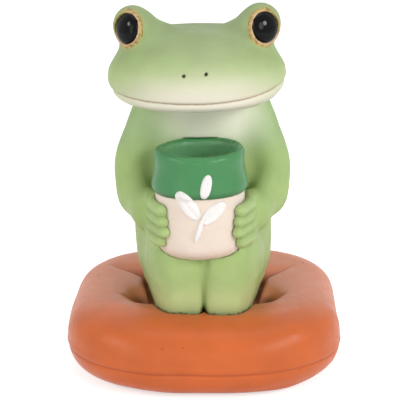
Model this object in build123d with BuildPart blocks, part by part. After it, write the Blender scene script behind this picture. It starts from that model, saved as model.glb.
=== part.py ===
"""Kneeling frog ornament with a tea cup on a floor cushion. Millimetres, +Z up, the front faces -Y."""

import os
from math import asin, cos, degrees, radians, sin, sqrt

from build123d import *

os.makedirs("parts", exist_ok=True)

# Cushion
cushion_width = 45.0
cushion_depth = 48.0
cushion_height = 11.9
cushion_corner_radius = 16.5
cushion_roll = 9.0  # how far the flat of the crown stands in from the widest level
seam_height = 5.0
seam_width = 0.5
seam_depth = 0.4
dish_radius = 17.0  # hollow that the kneeling frog presses into the crown
dish_depth = 2.0
pleat_radius = 1.5
pleat_tip_radius = 0.5
pleat_inner_reach = 10.5
pleat_outer_reach = 16.0
front_pleat_angle = -22.0
rear_pleat_angle = 40.0

# Stance of the frog
seat_sink = 2.1  # underside of the legs below the cushion's top
torso_lift = 0.3  # underside of the torso above that of the legs

# Legs
leg_width = 8.5
leg_height = 11.0
leg_corner_radius = 3.7
knee_gap = 0.2  # between the two knees
hip_splay = 2.1  # hips farther out than the knees
knee_reach = 13.2  # foremost point of the knee
knee_round = 3.4
haunch_reach = 9.5  # rear end of the folded leg
foot_radius = 2.3
foot_spread = 4.9
foot_reach = 11.5
toe_radius = 0.95
toe_length = 3.6
toe_splay = 20.0  # degrees between toes
leg_pin_radius = 1.4
leg_pin_length = 3.0  # stands out above and below the leg

# Torso
torso_width = 22.0
torso_depth = 15.6
torso_rise = 24.8  # neck end above the lap
torso_back = 3.4  # its middle, behind the frog's upright axis
neck_spigot_radius = 3.2
neck_spigot_length = 4.0

# Cup
cup_reach = 9.5  # cup axis in front of the frog's upright axis
cup_shift = -0.35  # to the side
cup_tilt = 1.2  # degrees, towards -X
cup_height = 17.2
cup_radius = 7.2
cup_foot_radius = 5.6
cup_foot_round = 1.8
cup_band_height = 6.8  # height of the green upper part
cup_band_radius = 7.65
cup_band_round = 0.6
cup_rim_radius = 7.1
cup_rim_round = 0.4
cup_wall = 1.15
cup_hollow_depth = 9.0
cup_hollow_round = 1.6

# Raised motif on the cup
relief_height = 0.4
relief_rise = 8.8  # middle of the motif above the cup's foot
relief_width = 10.0
relief_length = 11.4

# Arms, heights above the lap
shoulder_height = 18.6
shoulder_inset = 1.9  # shoulder joint inside the torso's side
shoulder_radius = 2.7
upper_arm_radius = 3.0
elbow_height = 6.6
upper_arm_out = 0.4  # middle of the upper arm outside the torso's side
elbow_inset = 0.1  # elbow joint inside the torso's side
elbow_radius = 3.0
arm_back = 1.6
elbow_front = 1.0  # elbow in front of the shoulder
wrist_radius = 2.5
wrist_out = 2.3  # wrist joint outside the cup's side
wrist_back = 2.6  # wrist joint behind the cup axis
palm_radius = 2.4
hand_height = 5.3
finger_radius = 1.0
finger_pitch = 1.65
finger_wrap = 33.0  # degrees that a finger reaches round the cup's front
finger_root = 8.0  # degrees that it starts behind the cup's side
arm_pin_radius = 1.2
arm_pin_length = 3.0

# Head
head_width = 28.8
head_height = 12.4
snout_reach = 13.0
nape_reach = 9.6
chin_drop = 2.1  # chin below the torso's neck end
head_shift = -1.0  # to the side
head_turn = -1.5  # degrees about the upright axis, towards -X
head_roll = 1.2  # degrees, leaning towards -X
jaw_inset = 0.45
mouth_height = 2.2  # mouth line above the chin at the snout
mouth_rise = 6.0  # degrees that the mouth line climbs towards the nape
nostril_radius = 0.3
nostril_depth = 0.5
nostril_spread = 1.75
nostril_height = 6.7
bulge_radius = 3.9
bulge_spread = 9.2
bulge_height = 12.8
bulge_front = 2.6
brow_radius = 2.6
brow_spread = 4.0
brow_drop = 3.6

# Eyes
eye_radius = 2.45
eye_dome = 1.3
eye_seat_depth = 0.7
eye_shank_radius = 1.1
eye_shank_length = 1.9
eye_turn = 35.0  # degrees outwards from straight ahead
eye_turn_offset = 3.0  # the frog's right eye turns out by this much more, its left by as much less
eye_rim_radius = 0.5

glue_clearance = 0.08

# Sections, each of the sizes named beside its table
cushion_shares = [
    (0.0, 0.42, 1.0),
    (0.07, 0.22, 1.0),
    (0.2, 0.06, 1.0),
    (0.42, 0.0, 1.0),
    (0.6, 0.01, 1.0),
    (0.78, 0.1, 0.94),
    (0.9, 0.27, 0.84),
    (0.97, 0.53, 0.7),
    (1.0, 0.9, 0.5),
]  # height, roll, corner radius
corner_limit_share = 0.48  # the most that a corner radius takes of the side it rounds
torso_shares = [
    (0.0, 0.6, 0.62, 1.2),
    (0.05, 0.78, 0.84, 1.2),
    (0.14, 0.92, 0.99, 1.18),
    (0.26, 0.98, 1.03, 1.12),
    (0.43, 0.99, 0.95, 1.06),
    (0.6, 0.98, 0.87, 1.0),
    (0.77, 0.985, 0.81, 0.88),
    (0.91, 1.0, 0.79, 0.7),
    (1.0, 0.95, 0.76, 0.6),
]  # neck end height, width, depth, back
head_shares = [
    (0.0, 0.6, 0.7, 0.56),
    (0.1, 0.86, 0.9, 0.78),
    (0.21, 0.965, 0.985, 0.91),
    (0.35, 1.0, 1.0, 0.99),
    (0.5, 0.975, 0.955, 1.0),
    (0.68, 0.905, 0.83, 0.97),
    (0.84, 0.84, 0.64, 0.86),
    (0.95, 0.72, 0.45, 0.68),
    (1.0, 0.55, 0.3, 0.48),
]  # height, width, snout reach, nape reach
leaf_shares = [
    (-0.2, 0.06, 0.5, 0.26, 128.0),
    (0.22, -0.06, 0.44, 0.24, 40.0),
    (0.1, 0.33, 0.34, 0.17, 76.0),
    (-0.02, -0.3, 0.36, 0.08, 74.0),
]  # relief width, relief length, leaf length, leaf breadth, turn in degrees
finger_places = [-1.5, -0.5, 0.5, 1.5]
toe_places = [-1, 0, 1]

# Frames that the pieces stand in
frog = Plane.XY.offset(cushion_height - seat_sink)
cup_frame = Plane(origin=frog.from_local_coords(Vector(cup_shift, -cup_reach, leg_height))).rotated((0, -cup_tilt, 0))
cup_profile = Plane(origin=cup_frame.origin, x_dir=cup_frame.x_dir, z_dir=-cup_frame.y_dir)
cup_axis = Axis(cup_frame.origin, cup_frame.z_dir)
knee_spread = (leg_width + knee_gap) / 2
hip_spread = knee_spread + hip_splay
pin_spread = knee_spread + hip_splay / 2
neck_end = leg_height + torso_rise
head_frame = Plane(origin=frog.from_local_coords(Vector(head_shift, 0, neck_end - chin_drop))).rotated(
    (0, -head_roll, head_turn)
)


def tapered_limb(frame, start, end, start_radius, end_radius):
    """A tapering rod with round ends between two points of a frame."""
    origin = frame.from_local_coords(Vector(*start))
    along = frame.from_local_coords(Vector(*end)) - origin
    slope = degrees(asin((start_radius - end_radius) / along.length))
    upright = Plane(origin=origin, z_dir=along)
    with BuildPart() as limb:
        with BuildSketch(Plane(origin=origin, x_dir=along, z_dir=upright.x_dir)):
            with BuildLine():
                near = CenterArc((0, 0), start_radius, 90 - slope, 90 + slope)
                far = CenterArc((along.length, 0), end_radius, 0, 90 - slope)
                Line(near @ 0, far @ 1)
                Line(far @ 0, near @ 1)
            make_face()
        revolve(axis=Axis(origin, along))
    return limb.part


def rod(frame, start, end, radius):
    """A plain round rod between two points of a frame."""
    origin = frame.from_local_coords(Vector(*start))
    along = frame.from_local_coords(Vector(*end)) - origin
    with BuildPart() as pin:
        with BuildSketch(Plane(origin=origin, z_dir=along)):
            Circle(radius)
        extrude(amount=along.length)
    return pin.part


def cup_outline(growth):
    """The outside of the cup turned about its axis, without the hollow, grown outwards."""
    band_foot = cup_height - cup_band_height
    with BuildPart() as outline:
        with BuildSketch(cup_profile):
            with BuildLine():
                foot = Line((0, 0), (cup_foot_radius + growth, 0))
                heel = SagittaArc(foot @ 1, (cup_radius + growth, cup_foot_round), -cup_foot_round / 4)
                side = Line(heel @ 1, (cup_radius + growth, band_foot))
                lip = Line(side @ 1, (cup_band_radius + growth, band_foot + cup_band_round))
                flare = Spline(
                    lip @ 1,
                    (cup_rim_radius + growth, cup_height - cup_band_height / 3),
                    (cup_rim_radius + growth, cup_height - cup_rim_round),
                )
                rim = Line(flare @ 1, (cup_rim_radius - cup_rim_round + growth, cup_height))
                Polyline(rim @ 1, (0, cup_height), (0, 0))
            make_face()
        revolve(axis=cup_axis)
    return outline.part


def leg_form(side):
    """One folded leg with its foot and toes; side is 1 for the frog's left, -1 for its right."""
    haunch = frog.from_local_coords(Vector(side * hip_spread, haunch_reach, leg_height / 2))
    knee = frog.from_local_coords(Vector(side * knee_spread, -knee_reach, leg_height / 2))
    toes = []
    for place in toe_places:
        turn = radians(place * toe_splay)
        tip = (side * foot_spread + toe_length * sin(turn), foot_reach + toe_length * cos(turn), toe_radius)
        toes.append(tapered_limb(frog, (side * foot_spread, foot_reach, toe_radius), tip, toe_radius, toe_radius))
    instep = (side * foot_spread, haunch_reach - foot_radius, foot_radius)
    ball = (side * foot_spread, foot_reach, foot_radius / 2)
    foot = tapered_limb(frog, instep, ball, foot_radius, foot_radius / 2)
    with BuildPart() as leg:
        with BuildSketch(Plane(origin=haunch, x_dir=frog.z_dir, z_dir=knee - haunch)):
            RectangleRounded(leg_height, leg_width, leg_corner_radius)
        extrude(amount=(knee - haunch).length)
        ends = leg.faces().sort_by(Axis(haunch, knee - haunch))
        fillet(ends[0].edges() + ends[-1].edges(), knee_round)
        add(foot)
        add(toes)
    return leg.part


def leg_pin(side, growth):
    """The pin through a leg, which locates it in the cushion and in the torso."""
    return rod(
        frog,
        (side * pin_spread, torso_back, -leg_pin_length - growth),
        (side * pin_spread, torso_back, leg_height + leg_pin_length + growth),
        leg_pin_radius + growth,
    )


def arm_form(side):
    """One bent arm with its hand; side is 1 for the frog's left, -1 for its right."""
    torso_side = torso_width / 2
    shoulder = (side * (torso_side - shoulder_inset), arm_back, leg_height + shoulder_height)
    middle = (side * (torso_side + upper_arm_out), arm_back, leg_height + (shoulder_height + elbow_height) / 2)
    elbow = (side * (torso_side - elbow_inset), arm_back - elbow_front, leg_height + elbow_height)
    wrist = (cup_shift + side * (cup_radius + wrist_out), wrist_back - cup_reach, leg_height + hand_height)
    palm = (cup_shift + side * (cup_radius + finger_radius), -cup_reach, leg_height + hand_height)
    limbs = [
        tapered_limb(frog, shoulder, middle, shoulder_radius, upper_arm_radius),
        tapered_limb(frog, middle, elbow, upper_arm_radius, elbow_radius),
        tapered_limb(frog, elbow, wrist, elbow_radius, wrist_radius),
        tapered_limb(frog, wrist, palm, wrist_radius, palm_radius),
    ]
    grip = cup_radius + finger_radius
    root = radians(-finger_root)
    tip = radians(finger_wrap)
    for place in finger_places:
        level = leg_height + hand_height + place * finger_pitch
        start = (cup_shift + side * grip * cos(root), -cup_reach - grip * sin(root), level)
        end = (cup_shift + side * grip * cos(tip), -cup_reach - grip * sin(tip), level)
        limbs.append(tapered_limb(frog, start, end, finger_radius, finger_radius))
    with BuildPart() as arm:
        add(limbs)
    return arm.part


def arm_pin(side, growth):
    """The pin that locates an arm in the torso."""
    start = torso_width / 2 - shoulder_inset
    end = start - shoulder_radius - arm_pin_length - growth
    level = leg_height + shoulder_height
    return rod(frog, (side * start, arm_back, level), (side * end, arm_back, level), arm_pin_radius + growth)


def head_form(inset):
    """The plain head without eyes, shrunk by an inset."""
    with BuildPart() as form:
        for height_share, width_share, snout_share, nape_share in head_shares:
            snout = snout_share * snout_reach
            nape = nape_share * nape_reach
            with BuildSketch(head_frame.offset(height_share * head_height)):
                with Locations((0, (nape - snout) / 2)):
                    Ellipse(width_share * head_width / 2 - inset, (nape + snout) / 2 - inset)
        loft()
    return form.part


def eye_frame(side):
    """Frame on an eye bulge: +Z points out along the eye."""
    turn = radians(eye_turn - side * eye_turn_offset)
    outward = Vector(side * sin(turn), -cos(turn), 0)
    centre = Vector(side * bulge_spread, -bulge_front, bulge_height)
    start = head_frame.from_local_coords(centre + outward * sqrt(bulge_radius**2 - eye_radius**2))
    direction = head_frame.from_local_coords(centre + outward) - head_frame.from_local_coords(centre)
    return Plane(origin=start, z_dir=direction)


def eye_form(side, growth):
    """A domed eye bead with its shank."""
    frame = eye_frame(side)
    with BuildPart() as eye:
        with BuildSketch(Plane(origin=frame.origin, x_dir=frame.x_dir, z_dir=frame.y_dir)):
            with BuildLine():
                dome = ThreePointArc(
                    (-eye_radius - growth, 0), (0, -eye_dome - growth), (eye_radius + growth, 0)
                )
                Polyline(
                    dome @ 1,
                    (eye_radius + growth, eye_seat_depth + growth),
                    (eye_shank_radius + growth, eye_seat_depth + growth),
                    (eye_shank_radius + growth, eye_seat_depth + eye_shank_length + growth),
                    (-eye_shank_radius - growth, eye_seat_depth + eye_shank_length + growth),
                    (-eye_shank_radius - growth, eye_seat_depth + growth),
                    (-eye_radius - growth, eye_seat_depth + growth),
                    dome @ 0,
                )
            make_face()
            split(bisect_by=Plane.YZ)
        revolve(axis=Axis(frame.origin, frame.z_dir))
    return eye.part


# Cup and its raised motif
cup_solid = cup_outline(0)
with BuildPart() as cup:
    add(cup_solid)
    with BuildSketch(cup_profile):
        with BuildLine():
            mouth_radius = cup_rim_radius - cup_wall
            cup_floor = cup_height - cup_hollow_depth
            Polyline(
                (0, cup_floor),
                (mouth_radius - cup_hollow_round, cup_floor),
                (mouth_radius, cup_floor + cup_hollow_round),
                (mouth_radius, cup_height + cup_rim_round),
                (0, cup_height + cup_rim_round),
                close=True,
            )
        make_face()
    revolve(axis=cup_axis, mode=Mode.SUBTRACT)
cup.part.label = "cup"
export_step(cup.part, "parts/cup.step")

relief_frame = Plane(
    origin=cup_frame.from_local_coords(Vector(0, 0, relief_rise)), x_dir=cup_frame.x_dir, z_dir=-cup_frame.y_dir
)
relief_shell = cup_outline(relief_height)
with BuildPart() as cup_relief:
    for across_share, up_share, long_share, broad_share, turn in leaf_shares:
        with BuildSketch(relief_frame):
            with Locations(Location((across_share * relief_width, up_share * relief_length), turn)):
                Ellipse(long_share * relief_length / 2, broad_share * relief_width / 2)
        extrude(amount=cup_band_radius + relief_height + cup_wall)
    add(relief_shell, mode=Mode.INTERSECT)
    add(cup_solid, mode=Mode.SUBTRACT)
cup_relief.part.label = "cup_relief"
export_step(cup_relief.part, "parts/cup_relief.step")

# Legs
leg_forms = {side: leg_form(side) for side in (1, -1)}
for side, name in ((1, "left_leg"), (-1, "right_leg")):
    pin = leg_pin(side, 0)
    with BuildPart() as leg:
        add(leg_forms[side])
        add(cup_solid, mode=Mode.SUBTRACT)
        add(pin)
    leg.part.label = name
    export_step(leg.part, f"parts/{name}.step")

# Arms
arm_forms = {side: arm_form(side) for side in (1, -1)}
for side, name in ((1, "left_arm"), (-1, "right_arm")):
    pin = arm_pin(side, 0)
    with BuildPart() as arm:
        add(arm_forms[side])
        add(cup_solid, mode=Mode.SUBTRACT)
        add(pin)
    arm.part.label = name
    export_step(arm.part, f"parts/{name}.step")

# Torso, bedded on the thighs and round the arms and the back of the cup
bores = [leg_pin(side, glue_clearance) for side in (1, -1)] + [arm_pin(side, glue_clearance) for side in (1, -1)]
spigot_end = neck_end + neck_spigot_length
spigot = rod(frog, (0, torso_back, neck_end - neck_spigot_length), (0, torso_back, spigot_end), neck_spigot_radius)
with BuildPart() as torso:
    for height_share, width_share, depth_share, back_share in torso_shares:
        with BuildSketch(frog.offset(torso_lift + height_share * (neck_end - torso_lift))):
            with Locations((0, back_share * torso_back)):
                Ellipse(width_share * torso_width / 2, depth_share * torso_depth / 2)
    loft()
    torso_solid = torso.part
    add(leg_forms.values(), mode=Mode.SUBTRACT)
    add(arm_forms.values(), mode=Mode.SUBTRACT)
    add(cup_solid, mode=Mode.SUBTRACT)
    add(bores, mode=Mode.SUBTRACT)
    add(spigot)
torso.part.label = "torso"
export_step(torso.part, "parts/torso.step")

# Head
upper_form = head_form(0)
jaw_form = head_form(jaw_inset)
mouth_plane = Plane(
    origin=head_frame.from_local_coords(Vector(0, -snout_reach, mouth_height)),
    x_dir=head_frame.x_dir,
    z_dir=head_frame.z_dir,
).rotated((mouth_rise, 0, 0))
with BuildPart() as upper_head:
    add(upper_form)
    split(bisect_by=mouth_plane, keep=Keep.TOP)
with BuildPart() as jaw:
    add(jaw_form)
    split(bisect_by=mouth_plane, keep=Keep.BOTTOM)
brows = []
nostrils = []
eye_sockets = []
eye_rims = []
for side in (1, -1):
    bulge_centre = (side * bulge_spread, -bulge_front, bulge_height)
    brow_end = (side * brow_spread, 0, bulge_height - brow_drop)
    brows.append(tapered_limb(head_frame, bulge_centre, brow_end, bulge_radius, brow_radius))
    nostril_face = -snout_reach * sqrt(1 - (2 * nostril_spread / head_width) ** 2)
    nostrils.append(
        rod(
            head_frame,
            (side * nostril_spread, nostril_face - nostril_depth, nostril_height),
            (side * nostril_spread, nostril_face + nostril_depth * 3, nostril_height),
            nostril_radius,
        )
    )
    eye_sockets.append(eye_form(side, glue_clearance))
    with BuildPart() as eye_rim:
        with Locations(eye_frame(side)):
            Torus(eye_radius + eye_rim_radius / 2, eye_rim_radius)
    eye_rims.append(eye_rim.part)
neck_bore = rod(
    frog,
    (0, torso_back, neck_end - neck_spigot_length),
    (0, torso_back, spigot_end + glue_clearance),
    neck_spigot_radius + glue_clearance,
)
with BuildPart() as head:
    add(upper_head.part)
    add(jaw.part)
    add(brows)
    add(eye_rims)
    add(nostrils, mode=Mode.SUBTRACT)
    add(torso_solid, mode=Mode.SUBTRACT)
    add(neck_bore, mode=Mode.SUBTRACT)
    add(eye_sockets, mode=Mode.SUBTRACT)
head.part.label = "head"
export_step(head.part, "parts/head.step")

# Eyes
for side, name in ((1, "left_eye"), (-1, "right_eye")):
    eye = eye_form(side, 0)
    eye.label = name
    export_step(eye, f"parts/{name}.step")

# Cushion
pleats = []
for turn in (front_pleat_angle, 180 - front_pleat_angle, rear_pleat_angle, 180 - rear_pleat_angle):
    reach = (cos(radians(turn)), sin(radians(turn)))
    inner = (pleat_inner_reach * reach[0], pleat_inner_reach * reach[1], cushion_height)
    outer = (pleat_outer_reach * reach[0], pleat_outer_reach * reach[1], cushion_height)
    pleats.append(tapered_limb(Plane.XY, inner, outer, pleat_radius, pleat_tip_radius))
dish_ball_radius = (dish_radius**2 + dish_depth**2) / (2 * dish_depth)
cushion_bores = [leg_pin(side, glue_clearance) for side in (1, -1)]
with BuildPart() as cushion:
    for height_share, roll_share, corner_share in cushion_shares:
        level_width = cushion_width - 2 * roll_share * cushion_roll
        level_depth = cushion_depth - 2 * roll_share * cushion_roll
        corner_limit = corner_limit_share * min(level_width, level_depth)
        with BuildSketch(Plane.XY.offset(height_share * cushion_height)):
            RectangleRounded(level_width, level_depth, min(corner_share * cushion_corner_radius, corner_limit))
    loft()
    seam_corner_radius = min(cushion_corner_radius, corner_limit_share * min(cushion_width, cushion_depth))
    with BuildSketch(Plane.XY.offset(seam_height - seam_width / 2)):
        RectangleRounded(cushion_width + 2 * seam_depth, cushion_depth + 2 * seam_depth, seam_corner_radius)
        RectangleRounded(
            cushion_width - 2 * seam_depth,
            cushion_depth - 2 * seam_depth,
            seam_corner_radius - seam_depth,
            mode=Mode.SUBTRACT,
        )
    extrude(amount=seam_width, mode=Mode.SUBTRACT)
    with Locations((0, 0, cushion_height - dish_depth + dish_ball_radius)):
        Sphere(dish_ball_radius, mode=Mode.SUBTRACT)
    add(pleats, mode=Mode.SUBTRACT)
    add(leg_forms.values(), mode=Mode.SUBTRACT)
    add(torso_solid, mode=Mode.SUBTRACT)
    add(cushion_bores, mode=Mode.SUBTRACT)
cushion.part.label = "cushion"
export_step(cushion.part, "parts/cushion.step")
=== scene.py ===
"""Painted frog ornament on a cushion: skin, cushion, cup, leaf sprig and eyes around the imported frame."""

import math

import bmesh
import bpy
import numpy as np
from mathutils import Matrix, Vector


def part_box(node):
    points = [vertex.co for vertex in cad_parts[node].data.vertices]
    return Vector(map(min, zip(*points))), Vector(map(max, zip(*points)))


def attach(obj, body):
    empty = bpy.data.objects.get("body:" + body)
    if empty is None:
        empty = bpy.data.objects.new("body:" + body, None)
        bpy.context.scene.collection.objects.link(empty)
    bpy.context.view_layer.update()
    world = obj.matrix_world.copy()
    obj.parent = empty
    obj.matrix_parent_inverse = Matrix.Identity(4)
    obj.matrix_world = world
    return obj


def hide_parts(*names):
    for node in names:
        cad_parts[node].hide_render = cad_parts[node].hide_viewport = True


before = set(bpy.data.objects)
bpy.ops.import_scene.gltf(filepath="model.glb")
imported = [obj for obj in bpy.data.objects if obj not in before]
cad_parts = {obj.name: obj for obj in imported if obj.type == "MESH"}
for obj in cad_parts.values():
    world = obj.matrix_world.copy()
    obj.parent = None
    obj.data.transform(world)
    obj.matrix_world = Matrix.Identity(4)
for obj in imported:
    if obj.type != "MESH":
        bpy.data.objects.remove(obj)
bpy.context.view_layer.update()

MM = 0.001
TINY = 1e-9
FAR = 9.0
SIDES = (1, -1)  # the frog's left and right


def node_box(name):
    """A CAD node's box in millimetres."""
    low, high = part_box(name)
    return np.array(low) / MM, np.array(high) / MM


# Places in millimetres, anchored on the frame
cushion_low, cushion_high = node_box("cushion")
cup_low, cup_high = node_box("cup")
leg_low, leg_high = node_box("left_leg")
torso_low, torso_high = node_box("torso")
head_high = node_box("head")[1]
leg_pin = 3.0
neck_spigot = 4.0
chin_drop = 2.1
cup_nudge = 0.15
cushion_half = (cushion_high - cushion_low)[:2] / 2
cushion_top = cushion_high[2]
seat = leg_low[2] + leg_pin
lap = leg_high[2] - leg_pin
neck = torso_high[2] - neck_spigot
chin = neck - chin_drop
torso_side = (torso_high[0] - torso_low[0]) / 2
body_shift = -0.25
cup_shift = (cup_low[0] + cup_high[0]) / 2 + cup_nudge
cup_axis_y = (cup_low[1] + cup_high[1]) / 2
cup_tilt = math.radians(1.2)
head_shift = -1.0
head_turn = math.radians(-1.5)
head_roll = math.radians(1.2)


# Distance fields, negative inside
def smin(a, b, k):
    """Joins two fields with a blend of width k."""
    h = np.clip(0.5 + 0.5 * (b - a) / k, 0, 1)
    return b + (a - b) * h - k * h * (1 - h)


def smax(a, b, k):
    """Keeps what two fields share, with a blend of width k."""
    return -smin(-a, -b, k)


def smooth(low, high, v):
    """A soft step from 0 at low to 1 at high."""
    t = np.clip((v - low) / (high - low), 0, 1)
    return t * t * (3 - 2 * t)


def bell(v, width):
    """A soft bump, 1 at zero."""
    return np.exp(-((v / width) ** 2))


def limb(p, a, b, ra, rb):
    """A round-ended rod from a to b."""
    a = np.array(a, float)
    ba = np.array(b, float) - a
    pa = p - a
    t = np.clip(pa @ ba / (ba @ ba), 0, 1)
    return np.linalg.norm(pa - t[:, None] * ba, axis=1) - (ra + (rb - ra) * t)


def spline(a, b, c, d, t):
    """A point between b and c on the curve through four points."""
    bend = 2 * a - 5 * b + 4 * c - d
    twist = 3 * b - 3 * c + d - a
    return 0.5 * (2 * b + (c - a) * t + bend * t**2 + twist * t**3)


def chain(p, controls, radii, pieces=5, blend=0.6):
    """A smooth tube through control points."""
    points, sizes = [], []
    ends = [2 * controls[0] - controls[1], *controls, 2 * controls[-1] - controls[-2]]
    for n in range(len(controls) - 1):
        for t in np.arange(pieces) / pieces:
            points.append(spline(*ends[n:n + 4], t))
            sizes.append(radii[n] + (radii[n + 1] - radii[n]) * t * t * (3 - 2 * t))
    points.append(controls[-1])
    sizes.append(radii[-1])
    out = None
    for a, b, ra, rb in zip(points, points[1:], sizes, sizes[1:]):
        piece = limb(p, a, b, ra, rb)
        out = piece if out is None else smin(out, piece, blend)
    return out


def ball(p, c, r):
    return np.linalg.norm(p - np.array(c, float), axis=1) - r


def ellipsoid(p, c, r):
    q = (p - np.array(c, float)) / np.array(r, float)
    k0 = np.linalg.norm(q, axis=1)
    k1 = np.linalg.norm(q / np.array(r, float), axis=1) + TINY
    return k0 * (k0 - 1) / k1


def ellipse_2d(x, y, a, b):
    k0 = np.sqrt((x / a) ** 2 + (y / b) ** 2)
    k1 = np.sqrt((x / a**2) ** 2 + (y / b**2) ** 2) + TINY
    return k0 * (k0 - 1) / k1


def profile(heights, *columns, samples=400, window=61):
    """Smoothed look-up columns over a height."""
    fine = np.linspace(heights[0], heights[-1], samples)
    kernel = np.hanning(window)
    kernel /= kernel.sum()
    edge = window // 2
    out = []
    for column in columns:
        line = np.interp(fine, heights, column)
        padded = np.concatenate([np.full(edge, line[0]), line, np.full(edge, line[-1])])
        out.append(np.convolve(padded, kernel, "valid"))
    return fine, out


def look_up(height, table):
    """The columns of a profile at each height."""
    fine, columns = table
    return [np.interp(height, fine, column) for column in columns]


def wobble(p, scale, seed, waves=5):
    """Soft hand-made unevenness, about -1 to 1, from waves in scattered directions."""
    total = np.zeros(len(p))
    for n in range(waves):
        turn = seed + 1.7 * n
        axis = np.array([math.sin(3.1 * turn), math.cos(2.3 * turn), math.sin(1.3 * turn + 1)])
        axis /= np.linalg.norm(axis)
        total += np.sin(p @ axis * (2 * math.pi / scale) * (0.8 + 0.17 * n) + 5.1 * turn)
    return total / 3


# Torso: half width, half depth and middle at each level
torso_levels = [
    seat + 0.2, seat + 1.6, seat + 3.6, seat + 6, lap - 1.5, lap + 2,
    lap + 6, lap + 10, lap + 14, lap + 18, lap + 21.7, neck,
]
torso_half_width = [6.5, 8.0, 8.9, 9.6, 10.5, 11.0, 11.0, 10.8, 10.8, 10.8, 10.75, 10.3]
torso_half_depth = [5.4, 6.9, 7.8, 8.2, 8.2, 8.0, 7.75, 7.5, 7.1, 6.6, 6.15, 6.0]
torso_middle = [4.4, 4.3, 4.2, 4.1, 4.0, 3.95, 4.0, 3.95, 3.7, 3.2, 2.55, 2.1]
torso_table = profile(torso_levels, torso_half_width, torso_half_depth, torso_middle)
torso_foot = seat + 0.2
torso_foot_round = 2.0
neck_round = 1.5


def trunk_field(p):
    x, y, z = p.T
    a, b, middle = look_up(z, torso_table)
    d = ellipse_2d(x - body_shift, y - middle, a, b)
    d = smax(d, z - neck, neck_round)
    return smax(d, torso_foot - z, torso_foot_round)


# Cup: its frame, and the plain outline that the hands close on
cup_foot = np.array([cup_shift, cup_axis_y, lap])
cup_height = 17.2
cup_radius = 7.2
cup_hold_z = [0, 0.35, 1.0, 1.9, 10.3, 10.6, 11.2, 12.4, 14.5, 16.8, cup_height]
cup_hold_r = [5.6, 6.35, 6.9, cup_radius, 7.22, 7.55, 7.78, 7.58, 7.25, 7.24, 7.0]


def cup_local(p):
    """Points in the cup's own frame: axis up, foot at zero."""
    x, y, z = (p - cup_foot).T
    c, s = math.cos(cup_tilt), math.sin(cup_tilt)
    return np.stack([x * c + z * s, y, z * c - x * s], axis=1)


def cup_world(points):
    """Points back from the cup's own frame."""
    x, y, z = np.asarray(points, float).T
    c, s = math.cos(cup_tilt), math.sin(cup_tilt)
    return np.stack([x * c - z * s, y, z * c + x * s], axis=1) + cup_foot


def cup_field(p):
    x, y, z = cup_local(p).T
    radius = np.hypot(x, y) - np.interp(z, cup_hold_z, cup_hold_r)
    return np.maximum(np.maximum(radius, -z), z - cup_height)


# Head: half width, reach to the front and reach to the back at each height above the chin
head_levels = [0, 1.24, 2.6, 4.34, 6.2, 8.43, 10.4, 11.8, 12.4]
head_half_width = [10.8, 12.9, 13.95, 14.6, 14.4, 13.0, 11.8, 10.4, 9.2]
head_front = [10.6, 12.3, 12.95, 13.0, 12.4, 10.8, 8.4, 6.2, 4.6]
head_back = [5.4, 7.5, 8.8, 9.5, 9.6, 9.3, 8.3, 6.8, 5.4]
head_table = profile(head_levels, head_half_width, head_front, head_back)
head_origin = np.array([head_shift, 0, chin])
crown_level = 12.1
crown_round = 2.2
jaw_level = -0.1
jaw_round = 1.1
face_edge = (3.0, -2.0)
mouth_height = 2.08
mouth_rise = math.tan(math.radians(6))
mouth_corners = {1: 0.85, -1: 0.05}
mouth_depth = 0.3
mouth_half = 0.22
lip_step = 0.3
lip_step_half = 0.25
lip_swell = 0.24
lip_swell_drop = 1.05
lip_swell_half = 0.7
snout_reach = 13.0
bulge_radius = 3.25
bulges = {1: np.array([9.8, -2.6, 12.35]), -1: np.array([-9.4, -2.6, 12.45])}
crests = {1: np.array([10.5, -1.7, 13.2]), -1: np.array([-10.25, -1.7, 13.05])}
crest_radius = 2.9
brows = {1: np.array([5.8, -0.6, 10.4]), -1: np.array([-5.4, -0.6, 10.4])}
brow_radius = 2.4
bulge_blend = 1.0
brow_blend = 2.2
eye_turns = {1: 37, -1: 44}
eye_lift = math.radians(12)
eye_radius = 2.5
eye_dome = 1.2
rim_out = 0.15
rim_sink = 0.1
rim_radius = 0.32
rim_blend = 0.4
socket_depth = 0.6
socket_edge = 0.12
nostril = np.array([1.75, -12.0, 6.7])
nostril_radius = 0.24
nostril_slope = 0.06
nostril_depth = 0.45
nostril_edge = (0.25, -0.2)
nostril_fade = (0, -6)


def rotation_y(a):
    return np.array([[math.cos(a), 0, math.sin(a)], [0, 1, 0], [-math.sin(a), 0, math.cos(a)]])


def rotation_z(a):
    return np.array([[math.cos(a), -math.sin(a), 0], [math.sin(a), math.cos(a), 0], [0, 0, 1]])


head_turned = rotation_y(-head_roll) @ rotation_z(head_turn)


def head_local(p):
    """Points in the head's own frame: chin at zero, snout towards -Y."""
    return (p - head_origin) @ head_turned


def eye_axis(side):
    """The way an eye looks, in the head's frame."""
    turn = math.radians(eye_turns[side])
    flat = math.cos(eye_lift)
    return np.array([side * math.sin(turn) * flat, -math.cos(turn) * flat, math.sin(eye_lift)])


def eye_seat(side):
    """Middle of the eye's rim in the head's frame."""
    seat_depth = math.sqrt(bulge_radius**2 - eye_radius**2)
    return bulges[side] + eye_axis(side) * seat_depth


def eye_coordinates(q, side):
    """Distance from the eye's axis, and along it from the rim."""
    rel = q - eye_seat(side)
    along = rel @ eye_axis(side)
    return np.linalg.norm(rel - along[:, None] * eye_axis(side), axis=1), along


def mouth_offset(q):
    """Height above the mouth line in the head's frame."""
    x, y, z = q.T
    corner = np.where(x > 0, mouth_corners[1], mouth_corners[-1])
    corner = corner * np.abs(x / snout_reach) ** 3
    return z - mouth_height - (y + snout_reach) * mouth_rise - corner


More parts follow.
